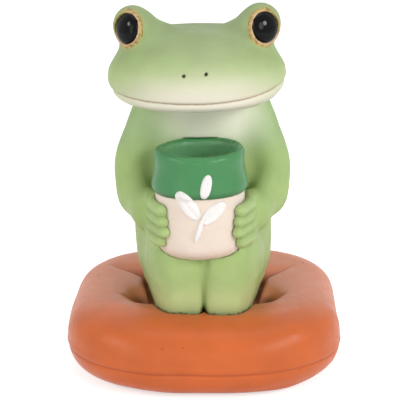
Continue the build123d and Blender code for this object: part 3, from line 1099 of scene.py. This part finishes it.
# painted shadow: dark green in the nook between the top finger and the cup's green band
nook_shade_coat = ("nook", 0.1, 0.8, 0.75, (98, 106, 60))
mouth_jitter, mouth_ahead = (0.8, 0.25), (0.0, 0.25)
lip_band, lip_share, lip_cream = ((-2.2, -1.5), (-0.1, -0.35)), 0.35, (240, 234, 220)
mouth_band, mouth_share, mouth_brown = ((-0.24, -0.06), (0.14, 0.0)), 0.75, (168, 130, 106)
eye_jitter, eye_calm = (0.7, 0.6), 0.4
olive_edge, eye_olive = (1.3, 0.5, 0.0, 0.6), (180, 180, 110)
tan_edge, eye_tan = (0.85, 0.4, 0.0, 0.9), (196, 164, 110)
fringe_edge, fringe_size, fringe_cut = (0.85, 0.6), 0.5, (0.5, 0.6)
fringe_share, eye_brown = 0.75, (140, 104, 54)
cream_edge, eye_cream = (0.46, 0.22), (216, 188, 152)
contact_jitter, grip_calm = (0.6, 0.7), 0.4
floor_edge, cushion_contact_shade = (0.2, 0.0, 0.0, 0.7), (104, 92, 52)
grip_fade, grip_shade_green = (0.45, 0.06, 0.0, 0.85), (96, 104, 66)
patch_size, patch_edge = 2.2, (0.38, 0.58, 0.35, 1.0)


def paint_mouth(skin):
    place = skin.math("ADD", skin.field("mouth"), skin.jitter(*mouth_jitter))
    lip = skin.product(skin.band(place, *lip_band), skin.field("ahead"))
    skin.layer(skin.product(lip, lip_share), lip_cream)
    line = skin.product(skin.band(place, *mouth_band), skin.ramp(skin.field("ahead"), *mouth_ahead))
    skin.layer(skin.product(line, mouth_share), mouth_brown)
    skin.tint(*nostril_coat)


def paint_eye_rims(skin):
    eye = skin.field("eye")
    uneven = skin.jitter(*eye_jitter)
    place = skin.math("ADD", eye, uneven)
    skin.layer(skin.ramp(place, *olive_edge), eye_olive)
    skin.layer(skin.ramp(place, *tan_edge), eye_tan)
    fringe = skin.product(skin.ramp(place, *fringe_edge), skin.ramp(skin.noise(fringe_size), *fringe_cut))
    skin.layer(skin.product(fringe, fringe_share), eye_brown)
    calmer = skin.math("ADD", eye, skin.product(uneven, eye_calm))
    skin.layer(skin.ramp(calmer, *cream_edge), eye_cream)


def paint_contacts(skin):
    skin.tint(*nook_shade_coat)
    uneven = skin.jitter(*contact_jitter)
    # painted shade: darker brown on the skin close to the cushion
    floor_place = skin.math("ADD", skin.field("floor_gap"), uneven)
    skin.layer(skin.ramp(floor_place, *floor_edge), cushion_contact_shade)
    # painted shade: dark green patches on the hands close to the cup, where they grip it
    cup_place = skin.math("ADD", skin.field("grip_gap"), skin.product(uneven, grip_calm))
    patches = skin.ramp(skin.noise(patch_size), *patch_edge)
    skin.layer(skin.product(skin.ramp(cup_place, *grip_fade), patches), grip_shade_green)


def skin_paint():
    skin = Paint("frog_skin", skin_green, skin_specular)
    for coat in skin_tones:
        skin.tint(*coat)
    skin.mottle(*skin_mottle)
    for coat in skin_shades:
        skin.tint(*coat)
    paint_mouth(skin)
    paint_eye_rims(skin)
    paint_contacts(skin)
    return skin.surface(*skin_grain)


skin_cell = 0.26
frog_low = (-17.5, -18.5, seat - 1.5)
frog_high = (17.5, 17.5, head_high[2] + 1.0)
frog_points, frog_faces = sculpt(frog_field, frog_low, frog_high, skin_cell)
frog = make_object("frog_skin", frog_points, frog_faces)
head_points = head_local(frog_points)
in_head = head_share(frog_points, head_points)
set_fields(frog, face_fields(head_points, in_head))
set_fields(frog, body_fields(frog_points, in_head))
set_fields(frog, hand_fields(frog_points))
frog.data.materials.append(skin_paint())
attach(frog, "root")
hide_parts("torso", "head", "left_leg", "right_leg", "left_arm", "right_arm")

# Cushion
cushion_orange = (202, 101, 51)
cushion_specular, cushion_mottle, cushion_grain = 0.22, (7.0, 0.93, 1.05), (0.6, 0.025, 0.3, 0.42)
cushion_coats = [
    # painted sheen: the cushion's upward-facing parts made paler and pinker, standing in for the white
    # surroundings reflected on its top
    ("top_sheen", 0.0, 1.0, 0.75, (224, 150, 122)),
    # painted shade: darker brown in the pleat valleys and in the pits beside the knees, where shade falls
    ("pleat", 0.4, 2.0, 0.85, (122, 54, 25)),
    ("pit", 0.35, 1.0, 0.8, (100, 46, 22)),
]
seam_band, seam_share, seam_brown = ((-0.3, -0.05), (0.25, 0.02)), 0.6, (176, 82, 42)
# painted shade: the cushion darker towards its bottom edge, where it meets the floor
underside_shade_coat = ("seam", -3.0, -4.2, 0.5, (136, 76, 48))
speck_noise, speck_edge, speck_brown = (1.0, 2.0), (0.71, 0.77, 0.0, 0.55), (112, 62, 36)
knee_jitter, knee_edge, knee_contact_shade = (0.9, 0.8), (0.75, 0.1, 0.0, 0.8), (100, 54, 26)
pleat_levels = (seam_height, cushion_top - 2)
pit_levels = (seam_height, cushion_top - 3)
top_sheen_slope, top_sheen_range = (0.35, 1.0), (-22.0, 4.0)


def cushion_fields(p):
    normal = gradient(cushion_field, p)
    upward = normal[:, 2] / np.linalg.norm(normal, axis=1)
    return {
        "seam": p[:, 2] - seam_level(p),
        # painted shade: how deep the pleat valleys and knee pits are, for darker paint there
        "pleat": pleat_depth(p) * smooth(*pleat_levels, p[:, 2]),
        "pit": pit_share(p) * smooth(*pit_levels, p[:, 2]),
        # distance to the frog, for painted shadow where it sits on the cushion
        "frog_gap": body_field(p),
        # painted sheen: 1 where the cushion faces upward, fading out towards its front
        "top_sheen": smooth(*top_sheen_slope, upward) * smooth(*top_sheen_range, p[:, 1]),
    }


def cushion_paint():
    cover = Paint("cushion_paint", cushion_orange, cushion_specular)
    cover.mottle(*cushion_mottle)
    for coat in cushion_coats:
        cover.tint(*coat)
    seam_line = cover.band(cover.field("seam"), *seam_band)
    cover.layer(cover.product(seam_line, seam_share), seam_brown)
    cover.tint(*underside_shade_coat)
    cover.layer(cover.ramp(cover.noise(*speck_noise), *speck_edge), speck_brown)
    # painted shadow: darker brown on the cushion close to the frog's legs and body
    contact = cover.math("ADD", cover.field("frog_gap"), cover.jitter(*knee_jitter))
    cover.layer(cover.ramp(contact, *knee_edge), knee_contact_shade)
    return cover.surface(*cushion_grain)


pad_cell = 0.3
pad_margin = 1.5
pad_low = (-cushion_half[0] - pad_margin, -cushion_half[1] - pad_margin, -1.0)
pad_high = (cushion_half[0] + pad_margin, cushion_half[1] + pad_margin, cushion_top + pad_margin)
pad_points, pad_faces = sculpt(cushion_field, pad_low, pad_high, pad_cell)
pad = make_object("cushion_body", pad_points, pad_faces)
set_fields(pad, cushion_fields(pad_points))
pad.data.materials.append(cushion_paint())
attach(pad, "root")
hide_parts("cushion")

# Cup: turned outline from the foot over the lip to the floor of the hollow, a little uneven as if hand made
cup_outside = [
    (0.0, 0.05), (3.0, 0.02), (5.2, 0.0), (5.75, 0.06), (6.25, 0.3), (6.65, 0.7), (6.98, 1.25), (7.14, 1.9),
    (7.2, 3.0), (7.22, 5.0), (7.22, 7.5), (7.2, 9.4), (7.2, 10.1), (7.24, 10.3), (7.4, 10.42), (7.56, 10.62),
    (7.74, 10.95), (7.78, 11.3), (7.7, 11.9), (7.5, 12.8), (7.33, 13.8), (7.24, 14.8), (7.25, 15.6),
    (7.28, 16.1), (7.22, 16.6), (7.0, 17.0),
]
cup_inside = [
    (6.6, 17.2), (6.2, 17.12), (5.9, 16.86), (5.72, 16.4), (5.68, 15.8), (5.7, 14.0), (5.7, 11.5), (5.6, 9.6),
    (5.2, 8.75), (4.4, 8.3), (2.5, 8.2), (0.0, 8.2),
]
cup_sides = 160
lip_offset = (0.3, 0.3)
wall_waves = [(2, 0.05, 0.6, 0.0), (3, 0.03, 2.0, 0.2)]  # waves round, size, turn, twist with height
bore_waves = [(3, 0.06, 0.0, 0.0), (5, 0.05, 1.0, 0.0)]
lip_waves = [(2, 0.07, 1.1, 0.0)]
wall_fade, bore_fade = 4, 5
lip_range = (12, 17)
cup_beige = (232, 216, 201)
cup_specular, cup_mottle, cup_grain = 0.3, (5.0, 0.96, 1.02), (0.8, 0.02, 0.26, 0.4)
# painted shade: the cup darker towards its foot, where it sits in the lap
foot_shade_coat = ("cup_level", 2.2, 0.2, 0.5, (206, 188, 170))
band_jitter, band_edge, band_green = (1.6, 0.5), (10.28, 10.5), (70, 134, 82)
shade_band, shade_green = ((10.3, 10.5), (10.6, 11.6, 1.0, 0.0)), (60, 114, 70)
hollow_edge, hollow_levels, hollow_green = (6.0, 5.75), (7.5, 8.0), (104, 158, 110)


def waves(table, angle, z):
    """Unevenness at an angle round the cup."""
    return sum(size * math.sin(count * angle + turn + twist * z) for count, size, turn, twist in table)


def cup_points():
    points = []
    for r, z in cup_outside + cup_inside:
        inner = (r, z) in cup_inside
        offset = lip_offset if inner else (0.0, 0.0)
        for angle in np.arange(cup_sides) * 2 * math.pi / cup_sides:
            wall = waves(wall_waves, angle, z) * min(1, r / wall_fade)
            bore = -waves(bore_waves, angle, z) * min(1, r / bore_fade)
            rr = r + (bore if inner else wall)
            zz = z + waves(lip_waves, angle, z) * smooth(*lip_range, np.array(z))
            points.append((rr * math.cos(angle) + offset[0], rr * math.sin(angle) + offset[1], float(zz)))
    return points


def cup_fields(obj):
    q = cup_local(np.array([v.co for v in obj.data.vertices]) / MM)
    bore = np.hypot(q[:, 0] - lip_offset[0], q[:, 1] - lip_offset[1])
    return {"cup_level": q[:, 2], "cup_radius": bore}


def cup_paint():
    glaze = Paint("cup_paint", cup_beige, cup_specular)
    glaze.mottle(*cup_mottle)
    glaze.tint(*foot_shade_coat)
    level = glaze.math("ADD", glaze.field("cup_level"), glaze.jitter(*band_jitter))
    glaze.layer(glaze.ramp(level, *band_edge), band_green)
    glaze.layer(glaze.band(level, *shade_band), shade_green)
    hollow = glaze.ramp(glaze.field("cup_radius"), *hollow_edge)
    glaze.layer(glaze.product(hollow, glaze.ramp(level, *hollow_levels)), hollow_green)
    return glaze.surface(*cup_grain)


cup_rings = len(cup_outside) + len(cup_inside)
cup = make_object("tea_cup", cup_world(cup_points()), turned_faces(cup_rings, cup_sides))
weld(cup)
set_fields(cup, cup_fields(cup))
cup.data.materials.append(cup_paint())
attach(cup, "root")
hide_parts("cup")

# Raised leaf sprig on the cup's front
leaves = [
    (-2.0, 0.68, 5.7, 2.6, 128),
    (2.2, -0.68, 5.0, 2.4, 40),
    (1.0, 3.76, 3.9, 1.7, 76),
    (-0.2, -3.42, 4.1, 0.85, 74),
]  # across, up, length, breadth, turn in degrees; the last is the stem
relief_rise = 8.8
relief_height = 0.4
relief_root = -0.15
relief_clearance = 0.02
stem_breadth = 1.2
vein_share, vein_half = 0.3, 0.16
leaf_power, across_power, along_power = 2.4, 4, 6
leaf_steps, leaf_cuts = 28, 12
relief_white = (240, 236, 233)
relief_specular, relief_mottle, relief_grain = 0.3, (2.0, 0.94, 1.02), (0.5, 0.03, 0.4, 0.55)


def leaf_points(across, up, long, broad, turn):
    """The outer face of one leaf wrapped on the cup, then its root face inside the wall."""
    points = []
    c, s = math.cos(math.radians(turn)), math.sin(math.radians(turn))
    radii, levels = zip(*cup_outside)
    vein_depth = vein_share * (broad > stem_breadth)
    for outer in (True, False):
        for u in [-1 + 2 * i / leaf_steps for i in range(leaf_steps + 1)]:
            width = broad / 2 * math.sqrt(max(0, 1 - abs(u) ** leaf_power))
            for v in [-1 + 2 * j / leaf_cuts for j in range(leaf_cuts + 1)]:
                dome = math.sqrt(max(0, 1 - v**across_power)) * math.sqrt(max(0, 1 - u**along_power))
                vein = vein_depth * math.exp(-((v * width / vein_half) ** 2))
                lift = relief_height * (dome - vein * dome) if outer else relief_root
                x = across + u * long / 2 * c - v * width * s
                z = relief_rise + up + u * long / 2 * s + v * width * c
                wall = float(np.interp(z, levels, radii))
                r = wall + lift + relief_clearance
                points.append((r * math.sin(x / wall), -r * math.cos(x / wall), z))
    return points


def leaf_faces(base):
    """Both faces of one leaf and the edges between them."""
    faces = []
    row = leaf_cuts + 1
    face_size = (leaf_steps + 1) * row
    for face in (0, 1):
        for i in range(leaf_steps):
            for j in range(leaf_cuts):
                a = base + face * face_size + i * row + j
                ring = (a, a + 1, a + row + 1, a + row)
                faces.append(ring if face else ring[::-1])
    edge = [base + i * row for i in range(leaf_steps + 1)]
    for line in (edge, [v + leaf_cuts for v in edge]):
        for a, b in zip(line, line[1:]):
            faces.append((a, b, b + face_size, a + face_size))
    return faces


def relief_paint():
    white = Paint("relief_paint", relief_white, relief_specular)
    white.mottle(*relief_mottle)
    return white.surface(*relief_grain)


sprig_points, sprig_faces = [], []
for leaf in leaves:
    sprig_faces += leaf_faces(len(sprig_points))
    sprig_points += leaf_points(*leaf)
sprig = make_object("leaf_sprig", cup_world(sprig_points), sprig_faces)
weld(sprig)
sprig.data.materials.append(relief_paint())
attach(sprig, "root")
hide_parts("cup_relief")

# Eyes: domed beads
bead_sides = 64
bead_steps = 14
bead_root, bead_root_radius = -0.55, 1.5
bead_shoulder, bead_waist = -0.5, -0.2
bead_clearance = 0.02
dome_power = 0.9
bead_black = (5, 4, 5)
bead_specular, bead_mottle, bead_grain = 0.14, (1.2, 0.8, 1.3), (0.8, 0.004, 0.06, 0.1)


def bead_outline():
    """Distance from the axis and height above the rim, from the root to the top of the dome."""
    wall = eye_radius - bead_clearance
    line = [(0.0, bead_root), (bead_root_radius, bead_root), (wall - bead_clearance, bead_shoulder)]
    line += [(wall, bead_waist), (wall, 0.0)]
    for n in range(1, bead_steps + 1):
        turn = n / bead_steps * math.pi / 2
        line.append((eye_radius * math.cos(turn), eye_dome * math.sin(turn) ** dome_power))
    return line


def bead_points(side):
    axis = head_turned @ eye_axis(side)
    start = head_origin + head_turned @ eye_seat(side)
    across = np.cross(axis, (0, 0, 1.0))
    across /= np.linalg.norm(across)
    above = np.cross(across, axis)
    points = []
    for r, height in bead_outline():
        for angle in np.arange(bead_sides) * 2 * math.pi / bead_sides:
            out = across * r * math.cos(angle) + above * r * math.sin(angle)
            points.append(start + axis * height + out)
    return points


def eye_gloss(name):
    gloss = Paint(name, bead_black, bead_specular)
    gloss.mottle(*bead_mottle)
    return gloss.surface(*bead_grain)


for side, node in zip(SIDES, ("left_eye", "right_eye")):
    bead_faces = turned_faces(len(bead_outline()), bead_sides)
    bead = make_object(node + "_bead", bead_points(side), bead_faces)
    weld(bead)
    bead.data.materials.append(eye_gloss(node + "_gloss"))
    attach(bead, "root")
    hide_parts(node)

# Stage, in metres from here on
scene = bpy.context.scene
floor_reach = 3.0
floor_grey = (0.85, 0.85, 0.85, 1)
white_light = (1, 1, 1, 1)
floor_roughness = 0.9
floor_glow = 0.62
world_light = 0.42
world_seen = 1.0
aim = (0, 0, 0.03)
lamps = [
    ("key", (0.26, -0.32, 0.2), 0.2, 0.2, 0.42),
    ("fill", (-0.3, -0.3, 0.14), 0.2, 0.3, 0.25),
    ("low", (0.0, -0.5, 0.05), 0.4, 0.08, 0.3),
    ("top", (0.0, 0.05, 0.45), 0.3, 0.3, 0.27),
    ("right_glint", (0.335, -0.186, 0.224), 0.1, 0.1, 0.5),
    ("left_glint", (-0.358, -0.136, 0.227), 0.1, 0.1, 0.36),
]  # name, place, width, height, watts
unreflected = ("low",)
sensor_mm = 36
picture_pixels = 400
focal_pixels = 1792
camera_place = (-0.00065, -0.288, 0.108)
camera_dip = 15.8
camera_near = 0.01


def show_white(tree, socket, lit, seen):
    """One strength for the rays that light the object, another for those that see the backdrop."""
    path = tree.nodes.new("ShaderNodeLightPath")
    total = path.outputs["Is Camera Ray"]
    for kind in ("Is Glossy Ray", "Is Transmission Ray"):
        either = tree.nodes.new("ShaderNodeMath")
        either.operation = "MAXIMUM"
        tree.links.new(total, either.inputs[0])
        tree.links.new(path.outputs[kind], either.inputs[1])
        total = either.outputs[0]
    strength = tree.nodes.new("ShaderNodeMapRange")
    strength.inputs["To Min"].default_value = lit
    strength.inputs["To Max"].default_value = seen
    tree.links.new(total, strength.inputs["Value"])
    tree.links.new(strength.outputs["Result"], socket)


def floor_paint():
    paint = bpy.data.materials.new("floor")
    paint.use_nodes = True
    shader = paint.node_tree.nodes["Principled BSDF"]
    shader.inputs["Base Color"].default_value = floor_grey
    shader.inputs["Roughness"].default_value = floor_roughness
    shader.inputs["Emission Color"].default_value = white_light
    show_white(paint.node_tree, shader.inputs["Emission Strength"], 0.0, floor_glow)
    return paint


def softbox(name, place, width, height, power):
    """An oval lamp aimed at the frog."""
    light = bpy.data.lights.new(name, "AREA")
    light.shape = "ELLIPSE"
    light.size = width
    light.size_y = height
    light.energy = power
    obj = bpy.data.objects.new(name, light)
    scene.collection.objects.link(obj)
    obj.location = place
    obj.rotation_euler = (Vector(aim) - Vector(place)).to_track_quat("-Z", "Y").to_euler()
    obj.visible_glossy = name not in unreflected


floor_mesh = bpy.data.meshes.new("floor")
floor_corners = [(x * floor_reach, y * floor_reach, 0) for x, y in ((-1, -1), (1, -1), (1, 1), (-1, 1))]
floor_mesh.from_pydata(floor_corners, [], [(0, 1, 2, 3)])
floor = bpy.data.objects.new("floor", floor_mesh)
scene.collection.objects.link(floor)
floor.data.materials.append(floor_paint())

world = bpy.data.worlds.new("studio")
scene.world = world
world.use_nodes = True
background = world.node_tree.nodes["Background"]
background.inputs["Color"].default_value = white_light
show_white(world.node_tree, background.inputs["Strength"], world_light, world_seen)

for lamp in lamps:
    softbox(*lamp)

camera = bpy.data.cameras.new("camera")
camera.sensor_width = sensor_mm
camera.lens = focal_pixels / picture_pixels * sensor_mm
camera.clip_start = camera_near
eye_point = bpy.data.objects.new("camera", camera)
scene.collection.objects.link(eye_point)
eye_point.location = camera_place
eye_point.rotation_euler = (math.radians(90 - camera_dip), 0, 0)
scene.camera = eye_point
scene.view_settings.view_transform = "Standard"
